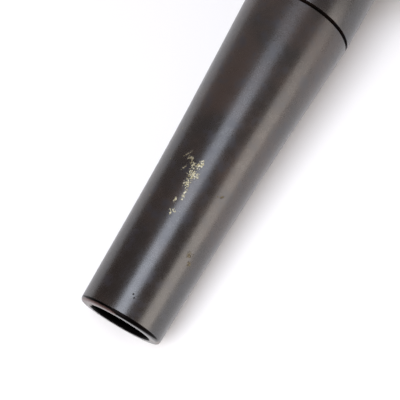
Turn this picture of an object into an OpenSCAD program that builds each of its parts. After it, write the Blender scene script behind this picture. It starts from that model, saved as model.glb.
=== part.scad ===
// Live center with a short Morse seat.
// The tapered shank stays still in the tailstock. The spindle and its 60 degree
// point turn with the work on two ball bearings, a thrust bearing and a needle bearing.
// The turning axis is X, the point looks along +X, and the origin is the centre of
// the seat's gauge plane. All sizes are in millimetres.

/* [Shank] */
// Diameter of the open tail end
tail_d = 19.8; // [19.2:0.1:20.4]
// Length of the Morse seat, from the tail to the gauge plane
seat_len = 24; // [20:1:28]
// Taper of the seat on the diameter, per unit of length
seat_taper = 0.0502; // [0.048:0.0002:0.053]
// Length over which the seat blends into the steeper neck cone
blend_len = 30; // [20:1:36]
// Length from the tail to the housing joint
shank_len = 81; // [78:1:90]
// Diameter where the shank meets the housing
joint_d = 26.5; // [26:0.1:28]
// Diameter of the drawbar hole at the tail
drawbar_d = 14.6; // [13:0.1:15]
// Depth of the drawbar hole
drawbar_len = 28; // [20:1:32]
// Diameter of the knock-out hole through the shank
knockout_d = 9; // [6:0.5:9]

/* [Housing] */
// Outer diameter of the barrel
barrel_d = 48; // [46.5:0.5:56]
// Length of the slim neck behind the barrel
neck_len = 17; // [14:0.5:18]
// Diameter of the shank spigot inside the neck
spigot_d = 20; // [19.5:0.1:20.5]
// Width of the shadow groove between shank and housing
shadow_w = 0.8; // [0.5:0.1:1]
// Number of pin spanner holes in the front cap
spanner_holes = 4; // [2:1:6]

/* [Bearings] */
// Bore of the ball bearings
ball_bore = 17; // [16.5:0.5:17]
// Outer diameter of the ball bearings
ball_od = 40; // [40:0.5:41]
// Ball diameter of the ball bearings
ball_d = 6.75; // [6.5:0.05:6.8]
// Balls in each ball bearing
ball_count = 8; // [6:1:9]
// Ball diameter of the thrust bearing
thrust_ball_d = 4.76; // [4.5:0.01:4.8]
// Balls in the thrust bearing
thrust_count = 12; // [8:1:13]
// Rollers in the needle bearing
needle_count = 14; // [10:1:16]

/* [Spindle] */
// Diameter of the spindle nose
nose_d = 24; // [22.8:0.1:24]
// Included angle of the point
point_angle = 60; // [60:5:90]
// Diameter of the carbide insert
tip_d = 8; // [6:0.5:10]

/* [Hidden] */
$fn = 96;

// Gap between pieces that are fixed to each other, on the radius or the length
seat_gap = 0.01;
// Gap between rolling pieces and their tracks
run_gap = 0.05;
// Small edge break on machined edges
edge = 0.4;

// Stations along the axis, measured from the gauge plane
tail_x = -seat_len;
joint_x = shank_len - seat_len;
neck_x = joint_x + shadow_w;
spigot_end = joint_x + 16;
thrust_x = joint_x + 27;
thrust_h = 9;
bearing_w = 12;
bore_x = thrust_x + 10;
rear_x = bore_x + 2;
spacer_x = rear_x + bearing_w;
front_x = spacer_x + 3;
nose_x = front_x + bearing_w;
barrel_end = nose_x + 5;
cap_end = barrel_end + 5;
cone_x = cap_end + 9;

// Radii
joint_r = joint_d / 2;
drawbar_r = drawbar_d / 2;
knockout_r = knockout_d / 2;
spigot_r = spigot_d / 2;
barrel_r = barrel_d / 2;
bore_r = ball_od / 2;
journal_r = ball_bore / 2;
nose_r = nose_d / 2;
tip_r = tip_d / 2;
pitch_r = (bore_r + journal_r) / 2;
thrust_pitch_r = 10.75;
thrust_bore_r = 7.5;
thrust_od_r = 14;
thrust_pocket_r = thrust_od_r + run_gap;

// Needle bearing
tail_journal_r = 5;
needle_r = 0.6;
needle_len = 7;
needle_x = spigot_end - 6;
needle_cup_len = 10;
needle_cup_r = 7;
needle_pitch_r = tail_journal_r + needle_r + run_gap * 0.6;
needle_track_r = needle_pitch_r + needle_r + run_gap * 0.6;

// Seal and cap
seal_r = 17.5;
seal_x = nose_x + 2.5;
seal_w = 6;
cap_r = barrel_r - 1;
cap_grip_r = bore_r - 0.02;
garter_r = 0.6;
o_ring_r = 0.7;
o_ring_gap = 0.02;
dimple_depth = 1;
cap_o_x = barrel_end - o_ring_r - 0.1;
shank_o_x = joint_x + 2.9;
spanner_r = 1.75;
spanner_pcd = seal_r + cap_r;
spanner_depth = 4;

// Screws
grease_x = spacer_x + 1.5;
grease_r = 2.5;
cap_screw_x = nose_x + 2.6;
cap_screw_r = 1.5;
shank_screw_x = joint_x + 8.5;
shank_screw_r = 2;
screw_clear = 0.02;

// Point
cone_len = nose_r / tan(point_angle / 2);
tip_cone_len = tip_r / tan(point_angle / 2);
tip_x = cone_x + cone_len;
tip_flat_r = 0.15;
tip_shank_len = 12;

// Circlip
circlip_x = rear_x - 1.1;
circlip_w = 1;
circlip_r = 8.1;

// Colours
oxide = "#3b3231";
ground = "#b9bcc0";
polished = "#d3d6da";
dark_steel = "#4a4a4d";
carbide = "#6f7479";
brass_yellow = "#c7a04a";
nylon_white = "#e6dfcc";
rubber_black = "#1d1d1f";

// A turned solid whose outline is a list of [radius, station] points
module turned(outline) rotate([0, 90, 0]) rotate_extrude() polygon(outline);

// A round ring whose section is a full circle
module torus(ring_r, wire_r, x) rotate([0, 90, 0]) translate([0, 0, x])
    rotate_extrude() translate([ring_r, 0]) circle(r = wire_r);

// A plain ring with all four edges broken
module ring(r_in, r_out, x0, x1, bevel = 0) turned([
    [r_in + bevel, x0], [r_out - bevel, x0], [r_out, x0 + bevel], [r_out, x1 - bevel],
    [r_out - bevel, x1], [r_in + bevel, x1], [r_in, x1 - bevel], [r_in, x0 + bevel]]);

// A solid or hollow cylinder along the axis
module bar(r, x0, x1) translate([x0, 0, 0]) rotate([0, 90, 0]) cylinder(r = r, h = x1 - x0);

// Places children on a radius at a station: their Z axis points outwards
module radial(angle, x) rotate([angle, 0, 0]) translate([x, 0, 0]) children();

// Copies children evenly round the axis
module around(count, start = 0)
    for (i = [0 : count - 1]) rotate([start + 360 * i / count, 0, 0]) children();

// Slopes of the radius: of the seat, and what the neck cone adds to it
seat_slope = seat_taper / 2;
seat_rise = tail_d / 2 + seat_slope * shank_len;
extra_slope = (joint_r - seat_rise) / (shank_len - seat_len - blend_len / 2);
function blend_rise(s) = extra_slope * s * s / (2 * blend_len);

// Radius of the shank at a distance from the tail: seat, smooth blend, then neck cone
function shank_r(s) = tail_d / 2 + seat_slope * s
    + (s < seat_len ? 0
       : s < seat_len + blend_len ? blend_rise(s - seat_len)
       : extra_slope * (s - seat_len - blend_len / 2));

// Rounding of the tail's outer edge, and steps in the blend
tail_round = 0.8;
blend_steps = 8;

// Floor radius of an O-ring groove cut into a cylinder
function o_ring_floor(r) = r - 2 * o_ring_r - o_ring_gap;

// The shank before it is drilled: rounded tail, seat, blend, neck cone and spigot
module shank_blank() {
    shadow_depth = 1.8;
    spigot_bevel = 0.8;
    turned(concat(
        [[0, tail_x]],
        [for (a = [0 : 18 : 90]) [shank_r(tail_round) - tail_round * (1 - sin(a)),
                                  tail_x + tail_round * (1 - cos(a))]],
        [for (i = [0 : blend_steps]) let (s = seat_len + blend_len * i / blend_steps)
            [shank_r(s), tail_x + s]],
        [[joint_r, joint_x],
         [joint_r - shadow_depth, joint_x],
         [joint_r - shadow_depth, neck_x - seat_gap],
         [spigot_r, neck_x - seat_gap],
         [spigot_r, spigot_end - spigot_bevel],
         [spigot_r - spigot_bevel, spigot_end],
         [0, spigot_end]]));
}

// Tapered shank with its drawbar hole, knock-out hole and needle bearing seat
module shank() color(oxide) {
    mouth = 0.3;
    drawbar_end = tail_x + drawbar_len;
    drill_end = drawbar_end + drawbar_r - knockout_r;
    cup_seat = needle_x - needle_cup_len / 2 - 0.5;
    difference() {
        shank_blank();
        turned([[0, tail_x - 1], [drawbar_r + mouth + 1, tail_x - 1], [drawbar_r, tail_x + mouth],
                [drawbar_r, drawbar_end], [knockout_r, drill_end], [knockout_r, cup_seat],
                [needle_cup_r + seat_gap, cup_seat], [needle_cup_r + seat_gap, spigot_end + 1],
                [0, spigot_end + 1]]);
        ring(o_ring_floor(spigot_r), spigot_r + 1, shank_o_x - o_ring_r - run_gap,
             shank_o_x + o_ring_r + run_gap);
        radial(180, shank_screw_x) translate([0, 0, spigot_r - dimple_depth])
            cylinder(r1 = 0.6, r2 = 0.6 + dimple_depth, h = dimple_depth);
    }
}

module shank_o_ring() color(rubber_black) torus(spigot_r - o_ring_r, o_ring_r, shank_o_x);

// Set screw with a hexagon socket, its cone point down
module set_screw(r, len, key) difference() {
    union() {
        cylinder(r1 = r - 1, r2 = r, h = 1);
        translate([0, 0, 1]) cylinder(r = r, h = len - 1);
    }
    translate([0, 0, len * 0.45]) cylinder(r = key / sqrt(3), h = len, $fn = 6);
}

module shank_lock_screw() color(dark_steel) radial(180, shank_screw_x)
    translate([0, 0, spigot_r + run_gap]) set_screw(shank_screw_r, 2.9, 2);

// Drawn cup of the needle bearing, with a lip at each end
module needle_cup() color(ground) {
    lip = 0.6;
    half = needle_cup_len / 2;
    difference() {
        ring(tail_journal_r + 0.35, needle_cup_r, needle_x - half, needle_x + half);
        bar(needle_track_r, needle_x - half + lip, needle_x + half - lip);
    }
}

// Outline of the housing's outside: neck, fillet, 45 degree shoulder and barrel
fillet_r = 6;
crown_r = 4;
shoulder_start = neck_x + neck_len;
fillet_end_r = joint_r + fillet_r * (1 - cos(45));
fillet_end_x = shoulder_start + fillet_r * sin(45);
crown_start_r = barrel_r - crown_r * (1 - cos(45));
crown_start_x = fillet_end_x + crown_start_r - fillet_end_r;
barrel_x = crown_start_x + crown_r * sin(45);
barrel_bevel = 0.8;
grip_grooves = 3;
grip_pitch = 3;
grip_x = barrel_end - 14;

module housing_blank() turned(concat(
    [[0, neck_x], [joint_r - edge / 2, neck_x], [joint_r, neck_x + edge / 2]],
    [for (a = [0 : 9 : 45]) [joint_r + fillet_r * (1 - cos(a)), shoulder_start + fillet_r * sin(a)]],
    [for (a = [45 : -9 : 0]) [barrel_r - crown_r * (1 - cos(a)), barrel_x - crown_r * sin(a)]],
    [[barrel_r, barrel_end - barrel_bevel], [barrel_r - barrel_bevel, barrel_end],
     [0, barrel_end]]));

// Bores of the housing: spigot seat, web, thrust pocket and main bore
module housing_bores() {
    web_r = 8;
    turned([[0, neck_x - 1], [spigot_r + seat_gap, neck_x - 1],
            [spigot_r + seat_gap, spigot_end + 0.1], [web_r, spigot_end + 0.1],
            [web_r, thrust_x], [thrust_pocket_r, thrust_x], [thrust_pocket_r, bore_x],
            [bore_r + seat_gap, bore_x], [bore_r + seat_gap, barrel_end + 1],
            [0, barrel_end + 1]]);
}

module housing() color(oxide) difference() {
    housing_blank();
    housing_bores();
    for (i = [0 : grip_grooves - 1])
        torus(barrel_r + 0.3, 0.8, grip_x + i * grip_pitch);
    radial(180, shank_screw_x) translate([0, 0, spigot_r - 1])
        cylinder(r = shank_screw_r + screw_clear, h = joint_r);
    radial(0, grease_x) translate([0, 0, bore_r - 1])
        cylinder(r = grease_r + screw_clear, h = barrel_r);
    around(3, 60) radial(0, cap_screw_x) translate([0, 0, bore_r - 1])
        cylinder(r = cap_screw_r + screw_clear, h = barrel_r);
}

// Slotted plug of the grease hole
module grease_screw() color(dark_steel) radial(0, grease_x)
    translate([0, 0, bore_r + run_gap]) difference() {
        plug_len = barrel_r - bore_r - 0.5;
        slot_depth = 1.2;
        cylinder(r = grease_r, h = plug_len);
        translate([-grease_r - 1, -0.4, plug_len - slot_depth])
            cube([2 * grease_r + 2, 0.8, slot_depth + 1]);
    }

module cap_lock_screws() color(dark_steel) around(3, 60) radial(0, cap_screw_x)
    translate([0, 0, bore_r + run_gap]) set_screw(cap_screw_r, barrel_r - bore_r - 0.6, 1.5);

// Disc spring that loads the outer rings forwards against the cap
module preload_spring() color(dark_steel) {
    disc = 0.5;
    turned([[bore_r - 3.8, bore_x + run_gap], [bore_r - 3.8, bore_x + run_gap + disc],
            [bore_r - 0.3, rear_x - run_gap], [bore_r - 0.3, rear_x - run_gap - disc]]);
}

// Outer ring of a ball bearing: ball track and two shield seats
shield_seat = 0.8;
shield_r = bore_r - 2.6;
module outer_ring(x) color(polished) difference() {
    ring(bore_r - 3.4, bore_r, x, x + bearing_w, edge);
    torus(pitch_r, ball_d / 2 + run_gap, x + bearing_w / 2);
    bar(shield_r, x - 1, x + shield_seat);
    bar(shield_r, x + bearing_w - shield_seat, x + bearing_w + 1);
}

// Inner ring of a ball bearing
inner_shoulder_r = journal_r + 3.4;
module inner_ring(x) color(polished) difference() {
    ring(journal_r + seat_gap, inner_shoulder_r, x, x + bearing_w, edge);
    torus(pitch_r, ball_d / 2 + run_gap, x + bearing_w / 2);
}

// Pair of pressed shields in an outer ring
module shields(x) color(ground) {
    shield_w = 0.4;
    for (sx = [x + 0.3, x + bearing_w - 0.3 - shield_w])
        ring(inner_shoulder_r + 0.2, shield_r - seat_gap, sx, sx + shield_w);
}

// Balls set evenly in one plane
module balls(count, ring_r, r, x) around(count) translate([x, 0, ring_r]) sphere(r = r);

// One-piece cage with a round pocket for each ball
module ball_cage(x) color(nylon_white) difference() {
    half = 4.2;
    ring(pitch_r - 1.1, pitch_r + 1.1, x + bearing_w / 2 - half, x + bearing_w / 2 + half, edge);
    balls(ball_count, pitch_r, ball_d / 2 + run_gap, x + bearing_w / 2);
}

module bearing_balls(x) color(polished)
    balls(ball_count, pitch_r, ball_d / 2, x + bearing_w / 2);

module rear_bearing_outer_ring() outer_ring(rear_x);
module front_bearing_outer_ring() outer_ring(front_x);
module rear_bearing_inner_ring() inner_ring(rear_x);
module front_bearing_inner_ring() inner_ring(front_x);
module rear_bearing_shields() shields(rear_x);
module front_bearing_shields() shields(front_x);
module rear_bearing_cage() ball_cage(rear_x);
module front_bearing_cage() ball_cage(front_x);
module rear_bearing_balls() bearing_balls(rear_x);
module front_bearing_balls() bearing_balls(front_x);

// Spacers between the two ball bearings; the outer one has a grease hole
module outer_spacer() color(ground) difference() {
    ring(bore_r - 2.6, bore_r, spacer_x, front_x, edge / 2);
    radial(0, grease_x) translate([0, 0, bore_r - 5]) cylinder(r = 1, h = 10);
}

module inner_spacer() color(ground)
    ring(journal_r + seat_gap, journal_r + 2.1, spacer_x, front_x, edge / 2);

// Thrust bearing washers, each with a ball track
thrust_mid = thrust_x + thrust_h / 2;
washer_w = 2.75;
module thrust_track() torus(thrust_pitch_r, thrust_ball_d / 2 + run_gap, thrust_mid);

module thrust_housing_washer() color(polished) difference() {
    ring(thrust_bore_r + 0.5, thrust_od_r, thrust_x, thrust_x + washer_w, edge);
    thrust_track();
}

module thrust_shaft_washer() color(polished) difference() {
    ring(thrust_bore_r + seat_gap, thrust_od_r - 0.2, thrust_x + thrust_h - washer_w,
         thrust_x + thrust_h, edge);
    thrust_track();
}

module thrust_cage() color(brass_yellow) difference() {
    ring(thrust_bore_r + 0.4, thrust_od_r - 0.4, thrust_mid - 1.3, thrust_mid + 1.3, edge / 2);
    balls(thrust_count, thrust_pitch_r, thrust_ball_d / 2 + run_gap, thrust_mid);
}

module thrust_balls() color(polished)
    balls(thrust_count, thrust_pitch_r, thrust_ball_d / 2, thrust_mid);

// Needle rollers and the cage that spaces them
module rollers(r, len) around(needle_count) translate([0, 0, needle_pitch_r])
    bar(r, needle_x - len / 2, needle_x + len / 2);

module needle_cage() color(brass_yellow) difference() {
    half = needle_cup_len / 2 - 0.9;
    ring(tail_journal_r + 0.2, needle_track_r - 0.15, needle_x - half, needle_x + half);
    rollers(needle_r + run_gap / 2, needle_len + 2 * run_gap);
}

module needle_rollers() color(polished) rollers(needle_r, needle_len);

// Front cap: threaded nose that clamps the outer rings, flange and seal seat
module front_cap() color(oxide) difference() {
    nose_gap = 0.02;
    lip_r = bore_r - 5.5;
    turned([[lip_r, nose_x + nose_gap], [cap_grip_r - edge, nose_x + nose_gap],
            [cap_grip_r, nose_x + nose_gap + edge], [cap_grip_r, barrel_end + seat_gap],
            [cap_r, barrel_end + seat_gap], [cap_r, cap_end - edge * 2],
            [cap_r - edge * 2, cap_end], [seal_r + edge, cap_end],
            [seal_r + seat_gap, cap_end - edge], [seal_r + seat_gap, seal_x],
            [lip_r, seal_x]]);
    ring(o_ring_floor(cap_grip_r), cap_grip_r + 0.01, cap_o_x - o_ring_r - run_gap,
         cap_o_x + o_ring_r + run_gap);
    around(spanner_holes, 45) translate([0, 0, spanner_pcd / 2])
        bar(spanner_r, cap_end - spanner_depth, cap_end + 1);
}

module cap_o_ring() color(rubber_black) torus(cap_grip_r - o_ring_r - 0.01, o_ring_r, cap_o_x);

// Shaft seal: steel case, rubber body with a main lip and a dust lip, and a garter spring
case_w = 0.6;
case_lip_r = nose_r + 2.4;
garter_ring_r = nose_r + 1.85;
garter_x = seal_x + 2;
module seal_case() color(dark_steel) turned([
    [seal_r, seal_x], [seal_r, seal_x + seal_w], [case_lip_r, seal_x + seal_w],
    [case_lip_r, seal_x + seal_w - case_w], [seal_r - case_w, seal_x + seal_w - case_w],
    [seal_r - case_w, seal_x]]);

module seal_lip() color(rubber_black) {
    lip_gap = 0.03;
    difference() {
        turned([
            [case_lip_r - seat_gap, seal_x + seal_w], [case_lip_r - seat_gap, seal_x + 4],
            [nose_r + 1.6, seal_x + 3.4], [nose_r + 1.5, seal_x + 0.7],
            [nose_r + 0.9, seal_x + 0.5], [nose_r + lip_gap, seal_x + 2.2],
            [nose_r + 0.8, seal_x + 3.8], [nose_r + 0.9, seal_x + 4.8],
            [nose_r + lip_gap, seal_x + seal_w - 0.1], [nose_r + 0.6, seal_x + seal_w]]);
        torus(garter_ring_r, garter_r + seat_gap, garter_x);
    }
}

module garter_spring() color(ground) torus(garter_ring_r, garter_r, garter_x);

// Spindle: needle journal, thrust journal, bearing journal, nose and 60 degree cone
module spindle() color(ground) {
    tail_end = joint_x + 5.5;
    neck_r = nose_r - 1;
    relief_x = cap_end + 6;
    difference() {
        turned([
            [0, tail_end], [tail_journal_r - edge, tail_end], [tail_journal_r, tail_end + edge],
            [tail_journal_r, thrust_x + 2], [thrust_bore_r, thrust_x + 2],
            [thrust_bore_r, thrust_x + thrust_h + seat_gap],
            [journal_r, thrust_x + thrust_h + seat_gap],
            [journal_r, nose_x + seat_gap], [neck_r, nose_x + seat_gap], [neck_r, nose_x + 1],
            [nose_r, nose_x + 2], [nose_r, relief_x], [neck_r, relief_x + 0.6],
            [neck_r, cone_x - 1.1], [nose_r - edge / 2, cone_x - 0.5],
            [nose_r, cone_x - 0.3], [nose_r, cone_x],
            [tip_r, cone_x + cone_len - tip_cone_len], [0, cone_x + cone_len - tip_cone_len]]);
        ring(circlip_r, journal_r + 1, circlip_x - 0.05, circlip_x + circlip_w + 0.05);
        bar(tip_r + seat_gap, tip_seat_x - seat_gap, tip_x);
    }
}

// Carbide insert brazed into the spindle nose
tip_base_x = cone_x + cone_len - tip_cone_len;
tip_seat_x = tip_base_x - tip_shank_len;
module center_tip() color(carbide) turned([
    [0, tip_seat_x], [tip_r - edge, tip_seat_x], [tip_r, tip_seat_x + edge], [tip_r, tip_base_x],
    [tip_flat_r, tip_x - tip_flat_r / tan(point_angle / 2)],
    [0, tip_x - tip_flat_r / tan(point_angle / 2)]]);

// Ring on the spindle that throws coolant away from the seal
module flinger() color(ground) {
    flinger_x = cap_end + 0.8;
    flinger_r = nose_r + 5.2;
    turned([[nose_r + seat_gap, flinger_x], [flinger_r, flinger_x],
            [flinger_r, flinger_x + 1.4], [flinger_r - 1.5, flinger_x + 2.4],
            [nose_r + 2, flinger_x + 3.6], [nose_r + seat_gap, flinger_x + 3.6]]);
}

// Open retaining ring behind the rear bearing
module spindle_circlip() color(dark_steel) {
    gap_w = 4;
    difference() {
        ring(circlip_r + seat_gap, inner_shoulder_r - 0.9, circlip_x, circlip_x + circlip_w);
        translate([circlip_x - 1, -gap_w / 2, 0]) cube([circlip_w + 2, gap_w, inner_shoulder_r]);
    }
}

shank();
shank_o_ring();
shank_lock_screw();
needle_cup();
housing();
thrust_housing_washer();
preload_spring();
rear_bearing_outer_ring();
rear_bearing_shields();
outer_spacer();
front_bearing_outer_ring();
front_bearing_shields();
front_cap();
cap_o_ring();
cap_lock_screws();
seal_case();
seal_lip();
garter_spring();
grease_screw();
spindle();
center_tip();
flinger();
thrust_shaft_washer();
spindle_circlip();
rear_bearing_inner_ring();
inner_spacer();
front_bearing_inner_ring();
rear_bearing_cage();
rear_bearing_balls();
front_bearing_cage();
front_bearing_balls();
thrust_cage();
thrust_balls();
needle_cage();
needle_rollers();
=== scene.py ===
"""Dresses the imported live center: a black tapered shank, barrel housing and spinning 60 degree point.

The turning axis is X with the point along +X. Sizes in the classes are in millimetres, stations
are measured along the axis from the gauge plane of the seat, and MM turns both into metres.
"""

import logging
import math
from dataclasses import dataclass
from enum import Enum
from typing import Iterable, Sequence

import bpy
from mathutils import Matrix, Vector


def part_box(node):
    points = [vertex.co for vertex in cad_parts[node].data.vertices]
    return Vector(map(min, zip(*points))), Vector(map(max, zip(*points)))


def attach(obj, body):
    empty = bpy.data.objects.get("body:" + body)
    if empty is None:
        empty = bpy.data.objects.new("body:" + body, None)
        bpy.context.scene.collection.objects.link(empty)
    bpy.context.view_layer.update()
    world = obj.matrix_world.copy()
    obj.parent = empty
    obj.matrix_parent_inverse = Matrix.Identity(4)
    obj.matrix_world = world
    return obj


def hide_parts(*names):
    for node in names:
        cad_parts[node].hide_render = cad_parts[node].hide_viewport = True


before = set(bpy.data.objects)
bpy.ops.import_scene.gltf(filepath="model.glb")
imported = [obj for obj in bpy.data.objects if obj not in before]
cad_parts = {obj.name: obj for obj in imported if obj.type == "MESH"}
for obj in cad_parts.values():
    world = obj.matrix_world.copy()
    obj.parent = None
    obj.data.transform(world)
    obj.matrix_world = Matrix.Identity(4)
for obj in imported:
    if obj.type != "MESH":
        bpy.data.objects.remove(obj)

log = logging.getLogger("live_center")

MM = 0.001
AXIS = Vector((1.0, 0.0, 0.0))
MERGE = 1e-7
SMOOTH_ANGLE = math.radians(28)
CAP_SCREW_TURNS = (60.0, 180.0, 300.0)
SHANK_SCREW_TURN = 180.0
GREASE_SCREW_TURN = 0.0

Point = tuple[float, float]
Socket = bpy.types.NodeSocket


class Body(Enum):
    """Bodies of the moving model."""

    HOUSING = "housing_body"
    SPINDLE = "spindle_body"


class Slot(Enum):
    """Material slots of the record."""

    OXIDE = "oxide_steel"
    HOUSING = "housing_steel"
    GROUND = "ground_steel"
    BEARING = "bearing_steel"
    CARBIDE = "carbide"
    BRASS = "cage_brass"
    NYLON = "cage_nylon"
    RUBBER = "seal_rubber"
    SCREW = "screw_steel"


# ---------------------------------------------------------------- shader bench


class ShaderBench:
    """Builds one procedural material node by node.

    Args:
        name: name of the material.
    """

    def __init__(self, name: str) -> None:
        """Starts a material with a surface shader, and splits its Object coordinates."""
        self.material = bpy.data.materials.new(name)
        self.material.use_nodes = True
        self.tree = self.material.node_tree
        self.tree.nodes.clear()
        self.surface = self.tree.nodes.new("ShaderNodeBsdfPrincipled")
        output = self.tree.nodes.new("ShaderNodeOutputMaterial")
        self.tree.links.new(self.surface.outputs["BSDF"], output.inputs["Surface"])
        coords = self.tree.nodes.new("ShaderNodeTexCoord")
        self.place = coords.outputs["Object"]
        split = self.tree.nodes.new("ShaderNodeSeparateXYZ")
        self.tree.links.new(self.place, split.inputs[0])
        self.x, self.y, self.z = split.outputs

    def feed(self, socket: Socket, value: "Socket | float | tuple") -> None:
        """Links a socket to an input, or sets a plain value on it.

        Args:
            socket: the input.
            value: an output socket, a number or a colour.
        """
        if isinstance(value, bpy.types.NodeSocket):
            self.tree.links.new(value, socket)
        else:
            socket.default_value = value

    def math(self, kind: str, a: "Socket | float", b: "Socket | float" = 0.0,
             clamp: bool = False) -> Socket:
        """Adds a Math node.

        Args:
            kind: operation, such as "MULTIPLY".
            a: first value.
            b: second value.
            clamp: keep the result between 0 and 1.

        Returns:
            The node's output.
        """
        node = self.tree.nodes.new("ShaderNodeMath")
        node.operation = kind
        node.use_clamp = clamp
        self.feed(node.inputs[0], a)
        self.feed(node.inputs[1], b)
        return node.outputs[0]

    def vector(self, x: "Socket | float", y: "Socket | float", z: "Socket | float") -> Socket:
        """Joins three values into a vector.

        Args:
            x: first value.
            y: second value.
            z: third value.

        Returns:
            The vector.
        """
        node = self.tree.nodes.new("ShaderNodeCombineXYZ")
        for socket, value in zip(node.inputs, (x, y, z)):
            self.feed(socket, value)
        return node.outputs[0]

    def radius(self) -> Socket:
        """Distance from the turning axis, in metres."""
        return self.math("POWER", self.math("ADD", self.math("MULTIPLY", self.y, self.y),
                                            self.math("MULTIPLY", self.z, self.z)), 0.5)

    def angle(self) -> Socket:
        """Angle about the turning axis in radians, 0 at the top, positive towards +Y."""
        return self.math("ARCTAN2", self.y, self.z)

    def unrolled(self, radius: float) -> Socket:
        """Station and way round as a flat sheet, in mm.

        Args:
            radius: radius on which the way round is measured, in mm.

        Returns:
            The vector (station, way round, 0).
        """
        return self.vector(self.math("DIVIDE", self.x, MM),
                           self.math("MULTIPLY", self.angle(), radius), 0.0)

    def ellipse(self, sheet: Socket, centre: Point, half: Point, lean: float) -> Socket:
        """Reach from the centre of an ellipse: 0 there, 1 on its edge.

        Args:
            sheet: the flat sheet's vector.
            centre: the centre on the sheet.
            half: half sizes.
            lean: turn of the ellipse in degrees.

        Returns:
            The reach.
        """
        node = self.tree.nodes.new("ShaderNodeMapping")
        node.vector_type = "TEXTURE"
        self.feed(node.inputs["Vector"], sheet)
        node.inputs["Location"].default_value = (*centre, 0.0)
        node.inputs["Rotation"].default_value = (0.0, 0.0, math.radians(lean))
        node.inputs["Scale"].default_value = (*half, 1.0)
        size = self.tree.nodes.new("ShaderNodeVectorMath")
        size.operation = "LENGTH"
        self.feed(size.inputs[0], node.outputs[0])
        return size.outputs["Value"]

    def noise(self, vector: Socket, scale: float, detail: float = 3.0,
              rough: float = 0.5) -> Socket:
        """Adds a noise texture.

        Args:
            vector: where to read it.
            scale: cells per metre of the vector.
            detail: octaves.
            rough: weight of the finer octaves.

        Returns:
            The factor output, centred on 0.5.
        """
        node = self.tree.nodes.new("ShaderNodeTexNoise")
        self.feed(node.inputs["Vector"], vector)
        node.inputs["Scale"].default_value = scale
        node.inputs["Detail"].default_value = detail
        node.inputs["Roughness"].default_value = rough
        return node.outputs["Fac"]

    def turned_noise(self, scale: float, detail: float = 2.0) -> Socket:
        """Noise that runs round the piece like tool marks.

        Args:
            scale: marks per metre along the outline.
            detail: octaves.

        Returns:
            The factor output.
        """
        stretched = self.math("MULTIPLY", self.angle(), MM)
        return self.noise(self.vector(self.x, self.radius(), stretched), scale, detail)

    def band(self, value: Socket, low: float, high: float, top: float = 1.0) -> Socket:
        """Maps a value from low..high onto 0..top, smoothly and clamped.

        Args:
            value: the value.
            low: where the result is 0.
            high: where the result is top.
            top: the result's upper end.

        Returns:
            The mapped value.
        """
        node = self.tree.nodes.new("ShaderNodeMapRange")
        node.interpolation_type = "SMOOTHSTEP"
        self.feed(node.inputs["Value"], value)
        node.inputs["From Min"].default_value = low
        node.inputs["From Max"].default_value = high
        node.inputs["To Min"].default_value = 0.0
        node.inputs["To Max"].default_value = top
        return node.outputs["Result"]

    def spread(self, value: Socket, low: float, high: float) -> Socket:
        """Maps a 0..1 value onto low..high.

        Args:
            value: the value.
            low: the result at 0.
            high: the result at 1.

        Returns:
            The mapped value.
        """
        node = self.tree.nodes.new("ShaderNodeMapRange")
        self.feed(node.inputs["Value"], value)
        node.inputs["To Min"].default_value = low
        node.inputs["To Max"].default_value = high
        return node.outputs["Result"]

    def blend(self, factor: Socket, a: "Socket | tuple", b: "Socket | tuple") -> Socket:
        """Mixes two colours.

        Args:
            factor: 0 gives a, 1 gives b.
            a: first colour.
            b: second colour.

        Returns:
            The mixed colour.
        """
        node = self.tree.nodes.new("ShaderNodeMix")
        node.data_type = "RGBA"
        self.feed(node.inputs["Factor"], factor)
        for socket, value in zip(node.inputs[6:8], (a, b)):
            self.feed(socket, rgba(value) if isinstance(value, tuple) else value)
        return node.outputs[2]

    def bump(self, height: Socket, depth: float, strength: float = 1.0,
             under: "Socket | None" = None) -> Socket:
        """Adds a bump.

        Args:
            height: 0..1 height.
            depth: height of 1, in metres.
            strength: how much of it shows.
            under: a normal to build on.

        Returns:
            The normal.
        """
        node = self.tree.nodes.new("ShaderNodeBump")
        node.inputs["Distance"].default_value = depth
        node.inputs["Strength"].default_value = strength
        self.feed(node.inputs["Height"], height)
        if under is not None:
            self.feed(node.inputs["Normal"], under)
        return node.outputs["Normal"]

    def finish(self, **inputs: "Socket | float | tuple") -> bpy.types.Material:
        """Feeds the surface shader and returns the material.

        Args:
            inputs: shader inputs by name, with spaces as underscores.

        Returns:
            The material.
        """
        for name, value in inputs.items():
            socket = self.surface.inputs[name.replace("_", " ")]
            self.feed(socket, rgba(value) if isinstance(value, tuple) else value)
        return self.material


def rgba(colour: tuple) -> tuple:
    """A colour with alpha 1."""
    return (*colour[:3], 1.0)


# ---------------------------------------------------------------- finishes


@dataclass(frozen=True)
class Patch:
    """A worn place, or a place of painted shade, on the outside.

    Attributes:
        station: distance from the tail, in mm.
        turn: angle about the axis, in degrees from the top, positive towards +Y.
        length: half length along the axis, in mm.
        width: half width round the shank, in mm.
        lean: turn of the long side from the axis, in degrees.
    """

    station: float
    turn: float
    length: float
    width: float
    lean: float = 0.0


@dataclass(frozen=True)
class WearAndShade:
    """Worn places, or places of painted shade, of one kind.

    Attributes:
        patches: where they are.
        colour: what shows through the oxide, or the near-black of painted shade.
        second: a second colour that mottles it.
        scale: cells of the ragged edge per metre.
        ragged: how far the edge wanders, as a share of the patch.
        start: share of the patch's height at which it begins to show.
        bare: how metallic it is: bare metal for wear, a near-black metal for painted shade.
    """

    patches: tuple[Patch, ...]
    colour: tuple
    second: tuple
    scale: float = 500.0
    ragged: float = 0.5
    start: float = 0.30
    bare: float = 0.8


@dataclass(frozen=True)
class Ring:
    """A rubbed edge that runs round the axis.

    Attributes:
        station: place along the axis, in mm.
        radius: radius, in mm.
        reach: how far the wear reaches, in mm.
        turn: middle of the worn stretch, in degrees from the top.
        spread: half of the worn stretch in degrees; 180 or more is all round.
    """

    station: float
    radius: float
    reach: float
    turn: float = 0.0
    spread: float = 180.0


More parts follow.
